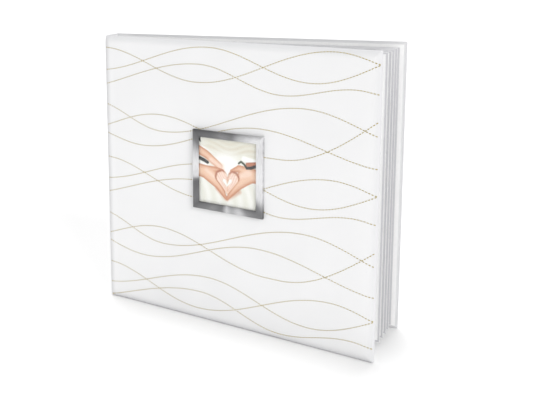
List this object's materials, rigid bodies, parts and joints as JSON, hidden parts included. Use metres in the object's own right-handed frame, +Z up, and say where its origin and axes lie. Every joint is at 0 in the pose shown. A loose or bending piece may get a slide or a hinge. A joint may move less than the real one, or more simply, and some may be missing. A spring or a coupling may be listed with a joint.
{
  "type": "wedding guest book",
  "caption": "Square padded white leatherette album with gold wave embroidery, a small framed cover picture and screw-post bound clear page sleeves, standing slightly open.",
  "frame": {"origin": "middle of the back cover's bottom edge", "axes": "+X from the spine to the fore edge along the back cover, +Y from the front cover to the back cover, +Z up the spine"},
  "size_m": [0.343, 0.1023, 0.3175],
  "materials": {
    "white_leatherette": "fine-grained white leatherette, satin",
    "greyboard": "dense grey bookbinding board",
    "foam_padding": "soft foam padding",
    "liner_paper": "smooth white lining paper, matt",
    "brushed_silver": "brushed silver metal",
    "clear_acrylic": "clear, polished",
    "picture_print": "semi-gloss colour print",
    "backing_tin": "thin rolled sheet, dull",
    "post_brass": "turned and polished",
    "binding_card": "stiff white card",
    "clear_sleeve": "clear soft film, slightly glossy",
    "page_sheet": "heavy white paper, matt"
  },
  "bodies": {
    "binding": {"spine_leather": "white_leatherette", "spine_board": "greyboard", "spine_liner": "liner_paper", "front_post_strip": "binding_card", "back_post_strip": "binding_card", "leaf_1_tab": "binding_card", "leaf_2_tab": "binding_card", "leaf_3_tab": "binding_card", "leaf_4_tab": "binding_card", "leaf_5_tab": "binding_card", "spacer_1": "binding_card", "spacer_2": "binding_card", "spacer_3": "binding_card", "spacer_4": "binding_card", "post_barrel_1": "post_brass", "post_barrel_2": "post_brass", "post_barrel_3": "post_brass", "post_screw_1": "post_brass", "post_screw_2": "post_brass", "post_screw_3": "post_brass"},
    "front_cover": {"front_cover_leather": "white_leatherette", "front_cover_board": "greyboard", "front_cover_foam_pad": "foam_padding", "front_cover_liner": "liner_paper", "silver_frame": "brushed_silver", "frame_backing": "backing_tin", "frame_glazing": "clear_acrylic"},
    "cover_picture": {"cover_picture": "picture_print"},
    "back_cover": {"back_cover_leather": "white_leatherette", "back_cover_board": "greyboard", "back_cover_liner": "liner_paper"},
    "leaf_1": {"leaf_1_sleeve": "clear_sleeve"},
    "sheet_1": {"leaf_1_sheet": "page_sheet"},
    "leaf_2": {"leaf_2_sleeve": "clear_sleeve"},
    "sheet_2": {"leaf_2_sheet": "page_sheet"},
    "leaf_3": {"leaf_3_sleeve": "clear_sleeve"},
    "sheet_3": {"leaf_3_sheet": "page_sheet"},
    "leaf_4": {"leaf_4_sleeve": "clear_sleeve"},
    "sheet_4": {"leaf_4_sheet": "page_sheet"},
    "leaf_5": {"leaf_5_sleeve": "clear_sleeve"},
    "sheet_5": {"leaf_5_sheet": "page_sheet"}
  },
  "joints": [
    {"name": "front_cover_hinge", "type": "hinge", "parent": "binding", "child": "front_cover", "pos_m": [-0.17145, -0.0318, 0], "axis": [0, 0, -1], "range_deg": [-11.57, 168.43]},
    {"name": "back_cover_hinge", "type": "hinge", "parent": "binding", "child": "back_cover", "pos_m": [-0.17145, 0.0022, 0], "axis": [0, 0, 1], "range_deg": [0, 180]},
    {"name": "leaf_1_hinge", "type": "hinge", "parent": "binding", "child": "leaf_1", "pos_m": [-0.15175, -0.0212, 0], "axis": [0, 0, -1], "range_deg": [-6.25, 90.95]},
    {"name": "leaf_2_hinge", "type": "hinge", "parent": "binding", "child": "leaf_2", "pos_m": [-0.15175, -0.01748, 0], "axis": [0, 0, -1], "range_deg": [-4.73, 68.89]},
    {"name": "leaf_3_hinge", "type": "hinge", "parent": "binding", "child": "leaf_3", "pos_m": [-0.15175, -0.01375, 0], "axis": [0, 0, -1], "range_deg": [-3.22, 46.82]},
    {"name": "leaf_4_hinge", "type": "hinge", "parent": "binding", "child": "leaf_4", "pos_m": [-0.15175, -0.01002, 0], "axis": [0, 0, -1], "range_deg": [-1.7, 24.76]},
    {"name": "leaf_5_hinge", "type": "hinge", "parent": "binding", "child": "leaf_5", "pos_m": [-0.15175, -0.0063, 0], "axis": [0, 0, -1], "range_deg": [-0.19, 2.7]},
    {"name": "sheet_1_slide", "type": "slide", "parent": "leaf_1", "child": "sheet_1", "axis": [0, 0, 1], "range_m": [0, 0.3]},
    {"name": "sheet_2_slide", "type": "slide", "parent": "leaf_2", "child": "sheet_2", "axis": [0, 0, 1], "range_m": [0, 0.3]},
    {"name": "sheet_3_slide", "type": "slide", "parent": "leaf_3", "child": "sheet_3", "axis": [0, 0, 1], "range_m": [0, 0.3]},
    {"name": "sheet_4_slide", "type": "slide", "parent": "leaf_4", "child": "sheet_4", "axis": [0, 0, 1], "range_m": [0, 0.3]},
    {"name": "sheet_5_slide", "type": "slide", "parent": "leaf_5", "child": "sheet_5", "axis": [0, 0, 1], "range_m": [0, 0.3]},
    {"name": "cover_picture_slide", "type": "slide", "parent": "front_cover", "child": "cover_picture", "axis": [0, 0, 1], "range_m": [0, 0.08]}
  ],
  "couplings": [
    {"joint": "leaf_1_hinge", "follows": "front_cover_hinge", "ratio": 0.54},
    {"joint": "leaf_2_hinge", "follows": "front_cover_hinge", "ratio": 0.409},
    {"joint": "leaf_3_hinge", "follows": "front_cover_hinge", "ratio": 0.278},
    {"joint": "leaf_4_hinge", "follows": "front_cover_hinge", "ratio": 0.147},
    {"joint": "leaf_5_hinge", "follows": "front_cover_hinge", "ratio": 0.016}
  ]
}
